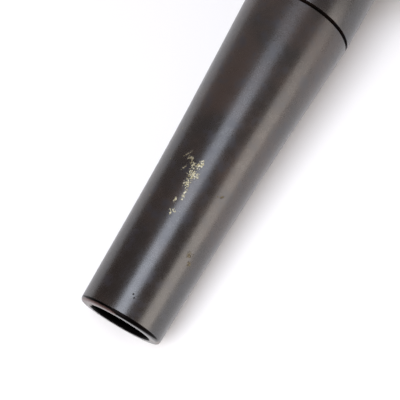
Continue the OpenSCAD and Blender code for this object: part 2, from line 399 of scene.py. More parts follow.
@dataclass(frozen=True)
class Recess:
    """A narrow hollow that light hardly reaches, such as a hole or a groove; its surface is painted
    near-black as painted shade.

    Attributes:
        low: first station, in mm.
        high: last station, in mm.
        radius: the hollow lies inside this radius, in mm.
    """

    low: float
    high: float
    radius: float


@dataclass(frozen=True)
class OxideFinish:
    """Black-brown oxide on turned steel, with painted shade in its hollows.

    Attributes:
        name: material name.
        dark: the oxide's colour.
        brown: where it is thin.
        bluish: where it is thick.
        scale: the near-black painted in hollows as painted shade.
        metal: bare steel at rubbed edges.
        rough: roughness.
        rings: rubbed edges.
        shaded_hollows: hollows painted near-black as painted shade.
        wear_and_shade: worn places and places of painted shade.
        tail: station of the tail, in mm, from which the worn places and the painted shade are measured.
        patch_radius: radius on which their widths are measured, in mm.
        clouds: brown clouds per metre.
        tints: bluish tints per metre.
        mottles: shallow mottles per metre.
        grains: cells of the fine grain per metre.
        marks: tool marks per metre.
        patch_edge: softness of a patch's edge, as a share of the patch.
        hollow_edge: softness of a hollow's edge, in mm.
        rubs: cells per metre of the noise that breaks up a rubbed edge.
        rubbed: how much of a rubbed edge is bare metal.
        dulled: roughness that bare metal adds.
        hollow_rough: roughness of the painted shade in hollows.
    """

    name: str
    dark: tuple = (0.0036, 0.0028, 0.0026)
    brown: tuple = (0.021, 0.0115, 0.0082)
    bluish: tuple = (0.0065, 0.0065, 0.011)
    # Near-black painted in hollows as painted shade.
    scale: tuple = (0.0025, 0.002, 0.002)
    metal: tuple = (0.60, 0.56, 0.53)
    rough: float = 0.28
    rings: tuple[Ring, ...] = ()
    shaded_hollows: tuple[Recess, ...] = ()
    wear_and_shade: tuple[WearAndShade, ...] = ()
    tail: float = 0.0
    patch_radius: float = 11.5
    clouds: float = 60.0
    tints: float = 330.0
    mottles: float = 760.0
    grains: float = 3600.0
    marks: float = 2600.0
    patch_edge: float = 0.12
    hollow_edge: float = 0.08
    rubs: float = 800.0
    rubbed: float = 0.85
    dulled: float = 0.14
    hollow_rough: float = 0.7

    def wear_and_shade_mask(self, bench: ShaderBench, wear: WearAndShade) -> Socket:
        """Mask of the worn places, or places of painted shade, of one kind, with ragged edges.

        Args:
            bench: the material's bench.
            wear: the places.

        Returns:
            The mask.
        """
        sheet = bench.unrolled(self.patch_radius)
        nearest: "Socket | float" = 0.0
        for patch in wear.patches:
            centre = (self.tail + patch.station, math.radians(patch.turn) * self.patch_radius)
            reach = bench.ellipse(sheet, centre, (patch.length, patch.width), patch.lean)
            nearest = bench.math("MAXIMUM", nearest, bench.math("SUBTRACT", 1.0, reach, clamp=True))
        noise = bench.noise(bench.place, wear.scale, detail=4.0, rough=0.65)
        wander = bench.math("MULTIPLY", bench.math("SUBTRACT", noise, 0.5), wear.ragged)
        # Noise frays a patch and adds nothing where there is none.
        on_patch = bench.math("MULTIPLY", nearest, 4.0, clamp=True)
        wander = bench.math("MULTIPLY", wander, on_patch)
        return bench.band(bench.math("ADD", nearest, wander), wear.start,
                          wear.start + self.patch_edge)

    def ring_mask(self, bench: ShaderBench) -> Socket:
        """Mask of the rubbed edges, broken up by noise.

        Args:
            bench: the material's bench.

        Returns:
            The mask.
        """
        worst: "Socket | float" = 0.0
        for ring in self.rings:
            along = bench.math("SUBTRACT", bench.x, ring.station * MM)
            out = bench.math("SUBTRACT", bench.radius(), ring.radius * MM)
            gap = bench.math("SQRT", bench.math("ADD", bench.math("MULTIPLY", along, along),
                                                bench.math("MULTIPLY", out, out)))
            close = bench.band(gap, ring.reach * MM, 0.0)
            if ring.spread < 180.0:
                facing = bench.math("COSINE", bench.math("SUBTRACT", bench.angle(),
                                                         math.radians(ring.turn)))
                limit = math.cos(math.radians(ring.spread))
                close = bench.math("MULTIPLY", close, bench.band(facing, limit, limit + 0.4))
            worst = bench.math("MAXIMUM", worst, close)
        noise = bench.noise(bench.place, self.rubs, detail=5.0, rough=0.65)
        worst = bench.math("MULTIPLY", worst, bench.spread(noise, 0.35, 1.35))
        return bench.band(worst, 0.42, 0.62)

    def hollow_shade_mask(self, bench: ShaderBench) -> Socket:
        """Mask of the hollows that get painted shade.

        Args:
            bench: the material's bench.

        Returns:
            The mask.
        """
        blur = self.hollow_edge
        inside: "Socket | float" = 0.0
        for recess in self.shaded_hollows:
            after = bench.band(bench.x, (recess.low - blur) * MM, (recess.low + blur) * MM)
            before = bench.band(bench.x, (recess.high + blur) * MM, (recess.high - blur) * MM)
            under = bench.band(bench.radius(), recess.radius * MM, (recess.radius - blur) * MM)
            between = bench.math("MULTIPLY", after, before)
            inside = bench.math("MAXIMUM", inside, bench.math("MULTIPLY", under, between))
        return inside

    def material(self) -> bpy.types.Material:
        """Builds the material: mottled oxide, then its wear and its patches of painted shade, then
        painted shade in its hollows.

        Returns:
            The material.
        """
        bench = ShaderBench(self.name)
        cloud = bench.noise(bench.place, self.clouds, detail=5.0, rough=0.6)
        tint = bench.noise(bench.place, self.tints, detail=3.0, rough=0.55)
        mottle = bench.noise(bench.place, self.mottles, detail=2.0, rough=0.5)
        grain = bench.noise(bench.place, self.grains, detail=3.0, rough=0.6)
        marks = bench.turned_noise(self.marks)
        colour = bench.blend(bench.band(cloud, 0.40, 0.68, 0.85), self.dark, self.brown)
        colour = bench.blend(bench.band(tint, 0.50, 0.70, 0.85), colour, self.bluish)
        rough = bench.math("ADD", bench.spread(cloud, self.rough - 0.06, self.rough + 0.06),
                           bench.spread(grain, -0.09, 0.09))
        rough = bench.math("ADD", rough, bench.spread(tint, -0.08, 0.08))
        bare: "Socket | float" = 0.0
        # Wear patches, and near-black patches that are painted shade, laid one kind over another.
        for wear in self.wear_and_shade:
            mask = self.wear_and_shade_mask(bench, wear)
            mottled = bench.blend(bench.band(grain, 0.40, 0.62), wear.colour, wear.second)
            colour = bench.blend(mask, colour, mottled)
            bare = bench.math("MAXIMUM", bare, bench.math("MULTIPLY", mask, wear.bare))
        if self.rings:
            mask = self.ring_mask(bench)
            colour = bench.blend(mask, colour, self.metal)
            bare = bench.math("MAXIMUM", bare, bench.math("MULTIPLY", mask, self.rubbed))
        metallic = bare
        rough = bench.math("ADD", rough, bench.math("MULTIPLY", bare, self.dulled))
        # Painted shade: hollows get a near-black, rough metal in place of the oxide.
        if self.shaded_hollows:
            hollow = bench.math("MULTIPLY", self.hollow_shade_mask(bench),
                                bench.math("SUBTRACT", 1.0, bare, clamp=True))
            colour = bench.blend(hollow, colour, self.scale)
            metallic = bench.math("MAXIMUM", metallic, hollow)
            rough = bench.math("MAXIMUM", rough,
                               bench.math("MULTIPLY", hollow, self.hollow_rough))
        normal = bench.bump(marks, 0.0012 * MM, 0.5)
        normal = bench.bump(grain, 0.0030 * MM, 0.8, normal)
        normal = bench.bump(mottle, 0.0070 * MM, 0.8, normal)
        normal = bench.bump(bench.math("SUBTRACT", 1.0, bare), 0.015 * MM, 0.6, normal)
        return bench.finish(Base_Color=colour, Roughness=rough, Metallic=metallic,
                            IOR=1.75, Normal=normal)


@dataclass(frozen=True)
class MetalFinish:
    """Bare metal with tool marks round the axis.

    Attributes:
        name: material name.
        colour: reflected colour.
        rough: roughness.
        marks: tool marks per metre.
        mark_depth: depth of a mark, in mm.
        stain: colour of faint handling stains.
        stained: how much they show.
        seam: station of a brazed joint in mm, or None.
        seam_w: its half width in mm.
        brass: colour of the braze.
    """

    name: str
    colour: tuple
    rough: float = 0.25
    marks: float = 5000.0
    mark_depth: float = 0.002
    stain: tuple = (0.42, 0.38, 0.33)
    stained: float = 0.35
    seam: "float | None" = None
    seam_w: float = 0.22
    brass: tuple = (0.72, 0.50, 0.20)

    def material(self) -> bpy.types.Material:
        """Builds the material.

        Returns:
            The material.
        """
        bench = ShaderBench(self.name)
        marks = bench.turned_noise(self.marks, 3.0)
        fine = bench.turned_noise(self.marks * 4, 2.0)
        cloud = bench.noise(bench.place, 120.0, detail=5.0, rough=0.6)
        speck = bench.noise(bench.place, 1500.0, detail=2.0, rough=0.5)
        colour = bench.blend(bench.band(cloud, 0.48, 0.8, self.stained), self.colour, self.stain)
        rough = bench.math("ADD", bench.spread(marks, self.rough - 0.07, self.rough + 0.07),
                           bench.spread(cloud, -0.05, 0.05))
        rough = bench.math("ADD", rough, bench.band(speck, 0.66, 0.76, 0.12))
        if self.seam is not None:
            gap = bench.math("ABSOLUTE", bench.math("SUBTRACT", bench.x, self.seam * MM))
            joint = bench.band(gap, self.seam_w * MM, self.seam_w * 0.6 * MM)
            colour = bench.blend(joint, colour, self.brass)
        normal = bench.bump(fine, self.mark_depth * 0.3 * MM, 0.6)
        normal = bench.bump(marks, self.mark_depth * MM, 0.7, normal)
        return bench.finish(Base_Color=colour, Roughness=rough, Metallic=1.0, Normal=normal)


@dataclass(frozen=True)
class SoftFinish:
    """Moulded rubber or plastic.

    Attributes:
        name: material name.
        colour: main colour.
        second: colour of the faint mottling.
        rough: roughness.
        grain: cells of the surface grain per metre.
    """

    name: str
    colour: tuple
    second: tuple
    rough: float = 0.6
    grain: float = 3500.0

    def material(self) -> bpy.types.Material:
        """Builds the material.

        Returns:
            The material.
        """
        bench = ShaderBench(self.name)
        cloud = bench.noise(bench.place, 300.0, 4.0)
        grain = bench.noise(bench.place, self.grain, 2.0)
        colour = bench.blend(bench.band(cloud, 0.35, 0.7), self.colour, self.second)
        rough = bench.spread(grain, self.rough - 0.08, self.rough + 0.08)
        normal = bench.bump(grain, 0.004 * MM, 0.6)
        return bench.finish(Base_Color=colour, Roughness=rough, Normal=normal)


@dataclass(frozen=True)
class PaperFinish:
    """Plain white sweep under the object.

    Attributes:
        name: material name.
        colour: paper colour.
    """

    name: str = "white_sweep"
    colour: tuple = (0.82, 0.82, 0.825)

    def material(self) -> bpy.types.Material:
        """Builds the material.

        Returns:
            The material.
        """
        bench = ShaderBench(self.name)
        fibre = bench.noise(bench.place, 900.0, 4.0)
        return bench.finish(Base_Color=self.colour, Roughness=bench.spread(fibre, 0.75, 0.9),
                            Normal=bench.bump(fibre, 0.01 * MM, 0.3))


# ---------------------------------------------------------------- workshop


def select_only(piece: bpy.types.Object) -> None:
    """Deselects everything, then selects and activates one object.

    Args:
        piece: the object.
    """
    bpy.ops.object.select_all(action="DESELECT")
    piece.select_set(True)
    bpy.context.view_layer.objects.active = piece


def arc(centre: Point, radius: float, start: float, end: float, steps: int) -> list[Point]:
    """Points of a round stretch of an outline.

    Args:
        centre: (station, radius) of the centre.
        radius: radius of the arc.
        start: first angle in degrees, 0 towards the point, 90 outwards.
        end: last angle in degrees.
        steps: number of segments.

    Returns:
        The points, both ends included.
    """
    angles = [math.radians(start + (end - start) * i / steps) for i in range(steps + 1)]
    return [(centre[0] + radius * math.cos(a), centre[1] + radius * math.sin(a)) for a in angles]


class Lathe:
    """Turns outlines about the X axis, and drills, joins and finishes what it turned."""

    @staticmethod
    def turn(name: str, outline: Sequence[Point], steps: int = 160) -> bpy.types.Object:
        """Extrudes a vertex along an outline and spins it about the axis.

        Args:
            name: name of the piece.
            outline: list of (station, radius) points in mm. It starts and ends on the axis,
                or else it is closed.
            steps: segments round the axis.

        Returns:
            The turned piece, with its place in its mesh.
        """
        bpy.ops.object.select_all(action="DESELECT")
        bpy.ops.mesh.primitive_plane_add(size=MM)
        piece = bpy.context.object
        piece.name = piece.data.name = name
        bpy.ops.object.mode_set(mode="EDIT")
        bpy.ops.mesh.select_all(action="SELECT")
        bpy.ops.mesh.merge(type="CENTER")
        on_axis = outline[0][1] == 0.0 and outline[-1][1] == 0.0
        path = list(outline) if on_axis else [*outline, outline[0]]
        bpy.ops.transform.translate(value=(path[0][0] * MM, 0.0, path[0][1] * MM))
        for (xa, ra), (xb, rb) in zip(path, path[1:]):
            step = ((xb - xa) * MM, 0.0, (rb - ra) * MM)
            bpy.ops.mesh.extrude_vertices_move(TRANSFORM_OT_translate={"value": step})
        bpy.ops.mesh.select_all(action="SELECT")
        bpy.ops.mesh.spin(steps=steps, angle=math.tau, center=(0, 0, 0), axis=AXIS)
        bpy.ops.mesh.select_all(action="SELECT")
        bpy.ops.mesh.remove_doubles(threshold=MERGE)
        bpy.ops.mesh.dissolve_degenerate(threshold=MERGE)
        bpy.ops.mesh.select_all(action="SELECT")
        bpy.ops.mesh.normals_make_consistent(inside=False)
        bpy.ops.object.mode_set(mode="OBJECT")
        return piece

    @staticmethod
    def smooth(piece: bpy.types.Object) -> None:
        """Shades a piece smooth except at its sharp edges."""
        select_only(piece)
        bpy.ops.object.shade_smooth_by_angle(angle=SMOOTH_ANGLE)

    @staticmethod
    def break_edges(piece: bpy.types.Object, width: float, angle: float = 40.0) -> None:
        """Breaks a piece's sharp edges with a bevel.

        Args:
            piece: the piece.
            width: bevel width in mm.
            angle: only edges sharper than this, in degrees.
        """
        bevel = piece.modifiers.new("edge_break", "BEVEL")
        bevel.width = width * MM
        bevel.segments = 3
        bevel.limit_method = "ANGLE"
        bevel.angle_limit = math.radians(angle)
        select_only(piece)
        bpy.ops.object.modifier_apply(modifier=bevel.name)

    @staticmethod
    def stand_up(piece: bpy.types.Object) -> None:
        """Turns a mesh so that its X axis points up along Z."""
        piece.data.transform(Matrix.Rotation(-math.pi / 2, 4, "Y"))

    @staticmethod
    def put_on_radius(piece: bpy.types.Object, turn: float, station: float) -> None:
        """Turns a mesh that stands on Z about the axis and moves it to a station.

        Args:
            piece: the piece.
            turn: degrees about X, 0 at the top.
            station: place along the axis in mm.
        """
        piece.data.transform(Matrix.Translation((station * MM, 0, 0))
                             @ Matrix.Rotation(math.radians(turn), 4, "X"))

    @classmethod
    def drill(cls, radius: float, bottom: float, surface: float, sink: float = 0.25,
              sides: int = 40) -> bpy.types.Object:
        """Makes a drill with a countersink, standing along X.

        Args:
            radius: radius of the hole in mm.
            bottom: station of its bottom in mm.
            surface: station of the surface that it enters in mm.
            sink: depth of the countersink in mm.
            sides: segments round the hole.

        Returns:
            The cutter.
        """
        past = 1.0
        return cls.turn("drill", [(bottom, 0.0), (bottom, radius), (surface - sink, radius),
                                  (surface + past, radius + sink + past), (surface + past, 0.0)],
                        sides)

    @staticmethod
    def copy(piece: bpy.types.Object, name: str) -> bpy.types.Object:
        """Copies a piece with its own mesh.

        Args:
            piece: the piece.
            name: name of the copy.

        Returns:
            The copy.
        """
        twin = piece.copy()
        twin.data = piece.data.copy()
        twin.name = twin.data.name = name
        bpy.context.scene.collection.objects.link(twin)
        return twin

    @staticmethod
    def cut(piece: bpy.types.Object, cutters: Iterable[bpy.types.Object]) -> None:
        """Cuts pieces out of a piece and removes the cutters.

        Args:
            piece: what is cut.
            cutters: what cuts it.
        """
        for cutter in list(cutters):
            boolean = piece.modifiers.new("cut", "BOOLEAN")
            boolean.operation = "DIFFERENCE"
            boolean.solver = "EXACT"
            boolean.object = cutter
            select_only(piece)
            bpy.ops.object.modifier_apply(modifier=boolean.name)
            bpy.data.objects.remove(cutter, do_unlink=True)

    @staticmethod
    def join(name: str, pieces: Sequence[bpy.types.Object]) -> bpy.types.Object:
        """Joins pieces into one object.

        Args:
            name: name of the joined piece.
            pieces: the pieces.

        Returns:
            The joined piece.
        """
        select_only(pieces[0])
        for piece in pieces:
            piece.select_set(True)
        bpy.ops.object.join()
        joined = bpy.context.object
        joined.name = joined.data.name = name
        return joined


def place_piece(piece: bpy.types.Object, body: Body, slot: Slot, finish: bpy.types.Material,
                node: str) -> None:
    """Rides a piece on a body in place of a CAD node, and gives it its finish.

    Args:
        piece: the new piece.
        body: the body that carries it.
        slot: the record's material slot; not used.
        finish: its material.
        node: the CAD node that it stands for.
    """
    Lathe.smooth(piece)
    piece.data.materials.clear()
    piece.data.materials.append(finish)
    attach(piece, body.value)
    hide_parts(node)
    log.info("piece %s: %d faces, stands for %s", piece.name, len(piece.data.polygons), node)


def dress_nodes(names: Iterable[str], finish: bpy.types.Material) -> None:
    """Gives CAD nodes a finish and leaves their meshes alone.

    Args:
        names: node names.
        finish: the material.
    """
    for name in names:
        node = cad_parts[name]
        if node.material_slots:
            node.material_slots[0].material = finish
        else:
            node.data.materials.append(finish)
        log.info("node %s dressed in %s", name, finish.name)


def span(node: str) -> tuple[float, float, float]:
    """First station, last station and outer radius of a CAD node, in mm."""
    low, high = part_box(node)
    return low[0] / MM, high[0] / MM, high[1] / MM


# ---------------------------------------------------------------- sub-assemblies


@dataclass
class Shank:
    """Tapered shank with its drawbar thread.

    Attributes hold the sizes in mm, and stations run from the tail. Shade is the near-black
    of the painted shade on the tail's rim, and of the dark spots near the tail.
    """

    tail_r: float = 9.9
    seat_len: float = 24.0
    seat_slope: float = 0.0251
    blend_len: float = 30.0
    length: float = 81.0
    joint_r: float = 13.25
    tail_round: float = 0.8
    mouth: float = 0.3
    hole_r: float = 7.3
    hole_len: float = 28.0
    knockout_r: float = 4.5
    spigot_r: float = 10.0
    spigot_bevel: float = 0.8
    shadow_depth: float = 1.8
    shadow_w: float = 0.79
    groove_lip: float = 0.25
    corner: float = 0.12
    cup_r: float = 7.01
    cup_seat: float = 85.5
    thread_pitch: float = 1.5
    thread_depth: float = 0.8
    thread_cuts: int = 8
    taper_rings: int = 60
    steps: int = 192
    # Near-black used for the painted shade on the tail's rim and for the dark spots near the tail.
    shade: tuple = (0.003, 0.0024, 0.0024)

    def __post_init__(self) -> None:
        """Reads the tail and the spigot's end off the CAD node."""
        self.tail, end, _ = span("shank")
        self.spigot_end = end - self.tail
        rise = self.tail_r + self.seat_slope * self.length
        straight = self.length - self.seat_len - self.blend_len / 2
        self.extra_slope = (self.joint_r - rise) / straight

    def radius(self, s: float) -> float:
        """Outer radius of the seat, the blend and the neck cone.

        Args:
            s: distance from the tail in mm.

        Returns:
            The radius in mm.
        """
        past = s - self.seat_len
        seat = self.tail_r + self.seat_slope * s
        if past <= 0:
            return seat
        if past < self.blend_len:
            return seat + self.extra_slope * past * past / (2 * self.blend_len)
        return seat + self.extra_slope * (past - self.blend_len / 2)

    def outside(self) -> list[Point]:
        """Outline of the outside, from the tail face to the spigot's end.

        Returns:
            Its (distance from the tail, radius) points.
        """
        rim = self.radius(self.tail_round)
        lip = arc((self.tail_round, rim - self.tail_round), self.tail_round, 180, 90, 8)
        reach = self.length - self.corner - self.tail_round
        taper = [self.tail_round + reach * i / self.taper_rings
                 for i in range(1, self.taper_rings + 1)]
        shadow_r = self.joint_r - self.shadow_depth
        groove_end = self.length + self.shadow_w
        return [*lip, *[(s, self.radius(s)) for s in taper],
                (self.length, self.joint_r - self.corner), (self.length, shadow_r),
                (groove_end, shadow_r), (groove_end, self.spigot_r),
                (self.spigot_end - self.spigot_bevel, self.spigot_r),
                (self.spigot_end, self.spigot_r - self.spigot_bevel)]

    def inside(self) -> list[Point]:
        """Outline of the inside, from the spigot's end back to the mouth.

        Returns:
            Its (distance from the tail, radius) points.
        """
        drill = self.hole_len + self.hole_r - self.knockout_r
        threaded = self.hole_len - self.mouth
        rings = round(threaded / self.thread_pitch * self.thread_cuts)
        wall = [(self.hole_len - threaded * i / rings, self.hole_r) for i in range(rings + 1)]
        return [(self.spigot_end, self.cup_r), (self.cup_seat, self.cup_r),
                (self.cup_seat, self.knockout_r), (drill, self.knockout_r), *wall,
                (0.0, self.hole_r + self.mouth)]

    def cut_thread(self, piece: bpy.types.Object) -> None:
        """Cuts the drawbar thread into the wall of the hole.

        Args:
            piece: the turned shank.
        """
        fade = self.thread_pitch * 0.5
        for vertex in piece.data.vertices:
            x, y, z = vertex.co
            s = x / MM - self.tail
            r = math.hypot(y, z) / MM
            if not (self.mouth + 1e-3 < s < self.hole_len - 1e-3 and abs(r - self.hole_r) < 0.01):
                continue
            phase = (s / self.thread_pitch - math.atan2(y, z) / math.tau) % 1.0
            tooth = min(1.0, max(0.0, 1.4 * (1 - abs(2 * phase - 1)) - 0.2))
            ends = min(1.0, (s - self.mouth) / fade + 0.2, (self.hole_len - s) / fade)
            grown = (r + self.thread_depth * tooth * ends) / r
            vertex.co.y *= grown
            vertex.co.z *= grown

    def wear_and_shade(self) -> tuple[WearAndShade, ...]:
        """The shank's worn places and its painted shade, each kind over the ones before it.

        Returns:
            Scratches, specks, dark spots, painted shade on the tail's rim, the tail's wear and the
            flaked mark.
        """
        gold, olive = (0.50, 0.475, 0.35), (0.20, 0.17, 0.075)
        scratches = WearAndShade((Patch(33.5, -41.0, 0.5, 1.6, 30), Patch(19.2, -44.5, 1.2, 1.5, 20),
                          Patch(17.6, -50.5, 1.2, 1.2, -30)),
                         colour=(0.11, 0.095, 0.062), second=(0.008, 0.006, 0.004),
                         scale=2000.0, ragged=4.5, start=0.52, bare=0.8)
        specks = WearAndShade((Patch(26.6, 41.0, 0.35, 0.25), Patch(43.8, 50.0, 0.3, 0.25),
                       Patch(36.0, 41.0, 0.3, 0.2)),
                      colour=(0.16, 0.13, 0.10), second=olive, scale=900.0, ragged=0.6)
        # Near-black spots near the tail.
        dark_spots = WearAndShade((Patch(5.6, -9.5, 0.34, 0.30), Patch(5.0, -12.5, 0.30, 0.26)),
                     colour=self.shade, second=self.shade, scale=900.0, ragged=0.6,
                     start=0.3, bare=0.9)
        # Painted shade: a near-black band on the tail's rounded rim, standing for the shadow on that
        # edge.
        rim = WearAndShade((Patch(0.52, -12.0, 0.50, 14.5), Patch(0.78, 40.0, 0.20, 8.0)),
                   colour=self.shade, second=self.shade, scale=500.0, ragged=0.15,
                   start=0.05, bare=1.0)
        pink = WearAndShade((Patch(0.14, 36.0, 0.42, 9.0),), colour=(0.115, 0.072, 0.066),
                    second=(0.075, 0.048, 0.044), scale=600.0, ragged=0.6, start=0.1, bare=0.5)
        corners = WearAndShade((Patch(0.2, 84.0, 1.1, 3.0), Patch(0.15, -92.0, 1.0, 3.0)),
                       colour=(0.17, 0.148, 0.135), second=(0.12, 0.10, 0.09), scale=500.0,
                       ragged=0.5, start=0.3, bare=0.6)
        flaked = WearAndShade((Patch(38.3, 20.0, 0.34, 2.0, 55), Patch(37.5, 14.0, 0.8, 1.3),
                       Patch(35.1, 15.5, 0.34, 1.4, 70), Patch(36.9, 0.3, 1.9, 1.1, -20),
                       Patch(34.5, 1.5, 2.1, 2.0, 10), Patch(32.2, 2.8, 1.8, 1.2),
                       Patch(29.9, -1.2, 2.1, 0.55, 4), Patch(27.9, 4.7, 1.2, 0.5),
                       Patch(25.2, 1.0, 1.2, 1.1), Patch(36.5, 8.0, 1.4, 0.9, 40)),
                      colour=gold, second=olive, scale=2600.0, ragged=5.0, start=0.62)
        return scratches, specks, dark_spots, rim, pink, corners, flaked

    def shaded_hollows(self) -> tuple[Recess, ...]:
        """The shank's hollows that get painted shade.

        Returns:
            The threaded hole, its lower lip and the shadow groove.
        """
        spill, lip_w = 0.2, 0.12
        hole = Recess(self.tail + self.mouth, self.tail + self.hole_len + self.hole_r,
                      self.hole_r + self.thread_depth + self.mouth)
        lip = Recess(self.tail - spill, self.tail + self.mouth + spill,
                     self.hole_r + self.mouth + lip_w)
        groove = Recess(self.tail + self.length, self.tail + self.length + self.shadow_w,
                        self.joint_r - self.groove_lip)
        return hole, lip, groove

    def finish(self) -> bpy.types.Material:
        """Oxide with the shank's own wear: flaked at mid length, rubbed at the tail; with painted shade
        on the tail's rim, in the threaded hole and in the shadow groove.

        Returns:
            The material.
        """
        mouth = Ring(self.tail + self.mouth / 2, self.hole_r + self.mouth / 2, reach=0.5,
                     turn=-10.0, spread=100.0)
        return OxideFinish("shank_oxide", tail=self.tail, rings=(mouth,),
                           shaded_hollows=self.shaded_hollows(), wear_and_shade=self.wear_and_shade()).material()

    def build(self) -> None:
        """Models the shank and puts it in the CAD node's place."""
        outline = [(self.tail + s, r) for s, r in [*self.outside(), *self.inside()]]
        piece = Lathe.turn("tapered_shank", outline, self.steps)
        self.cut_thread(piece)
        place_piece(piece, Body.HOUSING, Slot.OXIDE, self.finish(), "shank")


@dataclass
class Housing:
    """Barrel housing: neck, fillet, shoulder, barrel with grip grooves, and its bores.

    Attributes hold the sizes in mm; back and front stations come from the CAD node.
    """

    joint_r: float = 13.25
    neck_len: float = 17.0
    fillet_r: float = 6.0
    crown_r: float = 4.0
    back_round: float = 0.06
    front_bevel: float = 0.8
    groove_r: float = 0.8
    groove_rise: float = 0.3
    groove_pitch: float = 3.0
    groove_back: float = 14.0
    grooves: int = 3
    spigot_bore: float = 10.01
    web_r: float = 8.0
    pocket_r: float = 14.05
    bore_r: float = 20.01
    web_x: float = 73.1
    thrust_x: float = 84.0
    bore_x: float = 94.0
    grease_r: float = 2.52
    cap_screw_r: float = 1.52
    shank_screw_r: float = 2.02
    lip_half: float = 0.75
    lip_wear: float = 0.22
    bevel_wear: float = 0.9
    steps: int = 192

    def __post_init__(self) -> None:
        """Reads the ends and the barrel's radius off the CAD node."""
        self.back, self.front, self.barrel_r = span("housing")

    def groove(self, station: float) -> list[Point]:
        """Outline of one grip groove.

        Args:
            station: its middle, in mm.

        Returns:
            Its points.
        """
        dip = math.degrees(math.asin(self.groove_rise / self.groove_r))
        return arc((station, self.barrel_r + self.groove_rise), self.groove_r,
                   180 + dip, 360 - dip, 12)

    def outside(self) -> list[Point]:
        """Outline from the joint face to the front edge.

        Returns:
            Its points.
        """
        shoulder = self.back + self.neck_len
        root_half = math.sin(math.radians(45))
        rise = 1 - root_half
        fillet_end = (shoulder + self.fillet_r * root_half, self.joint_r + self.fillet_r * rise)
        crown_start_r = self.barrel_r - self.crown_r * rise
        barrel_x = fillet_end[0] + crown_start_r - fillet_end[1] + self.crown_r * root_half
        points = [*arc((self.back + self.back_round, self.joint_r - self.back_round),
                       self.back_round, 180, 90, 4),
                  *arc((shoulder, self.joint_r + self.fillet_r), self.fillet_r, 270, 315, 10),
                  *arc((barrel_x, self.barrel_r - self.crown_r), self.crown_r, 135, 90, 10)]
        for i in range(self.grooves):
            points += self.groove(self.front - self.groove_back + i * self.groove_pitch)
        return [*points, (self.front - self.front_bevel, self.barrel_r),
                (self.front, self.barrel_r - self.front_bevel)]

    def inside(self) -> list[Point]:
        """Outline of the bores, from the front back to the joint face.

        Returns:
            Its points.
        """
        return [(self.front, self.bore_r), (self.bore_x, self.bore_r),
                (self.bore_x, self.pocket_r), (self.thrust_x, self.pocket_r),
                (self.thrust_x, self.web_r), (self.web_x, self.web_r),
                (self.web_x, self.spigot_bore), (self.back, self.spigot_bore)]

    def holes(self) -> list[bpy.types.Object]:
        """Drills for the grease screw, the cap lock screws and the shank lock screw.

        Returns:
            The cutters, in their places.
        """
        made = []
        past = 1.0
        spots = [("grease_screw", self.grease_r, self.bore_r, self.barrel_r,
                  (GREASE_SCREW_TURN,)),
                 ("cap_lock_screws", self.cap_screw_r, self.bore_r, self.barrel_r,
                  CAP_SCREW_TURNS),
                 ("shank_lock_screw", self.shank_screw_r, self.spigot_bore, self.joint_r,
                  (SHANK_SCREW_TURN,))]
        for node, radius, bore, surface, turns in spots:
            low, high, _ = span(node)
            for turn in turns:
                drill = Lathe.drill(radius, bore - past, surface)
                Lathe.stand_up(drill)
                Lathe.put_on_radius(drill, turn, (low + high) / 2)
                made.append(drill)
        return made

    def finish(self) -> bpy.types.Material:
        """Oxide, rubbed at the front bevel and at the lips of the grip grooves.

        Returns:
            The material.
        """
        first = self.front - self.groove_back
        lips = [Ring(first + i * self.groove_pitch + side * self.lip_half, self.barrel_r,
                     self.lip_wear) for i in range(self.grooves) for side in (-1, 1)]
        bevel = Ring(self.front - self.front_bevel / 2, self.barrel_r - self.front_bevel / 2,
                     self.bevel_wear)
        return OxideFinish("housing_oxide", rings=(*lips, bevel)).material()

    def build(self) -> None:
        """Models the housing and puts it in the CAD node's place."""
        piece = Lathe.turn("barrel_housing", [*self.outside(), *self.inside()], self.steps)
        Lathe.break_edges(piece, 0.1, 50)
        Lathe.cut(piece, self.holes())
        place_piece(piece, Body.HOUSING, Slot.HOUSING, self.finish(), "housing")


@dataclass
class FrontCap:
    """Threaded front cap with its flange, seal seat and pin spanner holes.

    Attributes hold the sizes in mm; the ends come from the CAD node.
    """

    lip_r: float = 14.5
    grip_r: float = 19.98
    flange_back: float = 5.0
    seal_r: float = 17.51
    seal_x: float = 125.5
    rim_round: float = 0.8
    seat_bevel: float = 0.4
    pin_r: float = 1.75
    pin_pcd: float = 40.5
    pin_depth: float = 4.0
    pins: int = 4
    first_pin: float = 45.0
    edge_in: float = 0.25
    edge_wear: float = 0.7
    seat_in: float = 0.2
    seat_wear: float = 0.5
    steps: int = 192

    def __post_init__(self) -> None:
        """Reads the ends and the flange radius off the CAD node."""
        self.back, self.front, self.flange_r = span("front_cap")

    def outline(self) -> list[Point]:
        """Outline of the whole cap.

        Returns:
            Its points.
        """
        flange_x = self.front - self.flange_back + 0.01
        return [(self.back, self.lip_r), (self.back, self.grip_r - self.seat_bevel),
                (self.back + self.seat_bevel, self.grip_r), (flange_x, self.grip_r),
                (flange_x, self.flange_r),
                *arc((self.front - self.rim_round, self.flange_r - self.rim_round),
                     self.rim_round, 90, 0, 6),
                (self.front, self.seal_r + self.seat_bevel),
                (self.front - self.seat_bevel, self.seal_r), (self.seal_x, self.seal_r),
                (self.seal_x, self.lip_r)]

    def build(self) -> None:
        """Models the cap, drills the pin holes and puts it in the CAD node's place."""
        piece = Lathe.turn("front_cap_ring", self.outline(), self.steps)
        Lathe.break_edges(piece, 0.08, 60)
        drills = []
        for i in range(self.pins):
            drill = Lathe.drill(self.pin_r, self.front - self.pin_depth, self.front)
            drill.data.transform(Matrix.Translation((0, 0, self.pin_pcd / 2 * MM)))
            Lathe.put_on_radius(drill, self.first_pin + 360 * i / self.pins, 0.0)
            drills.append(drill)
        Lathe.cut(piece, drills)
        edge = Ring(self.front - self.edge_in, self.flange_r - self.edge_in, self.edge_wear)
        seat = Ring(self.front - self.seat_in, self.seal_r + self.seat_in, self.seat_wear)
        finish = OxideFinish("cap_oxide", rings=(edge, seat)).material()
        place_piece(piece, Body.HOUSING, Slot.HOUSING, finish, "front_cap")


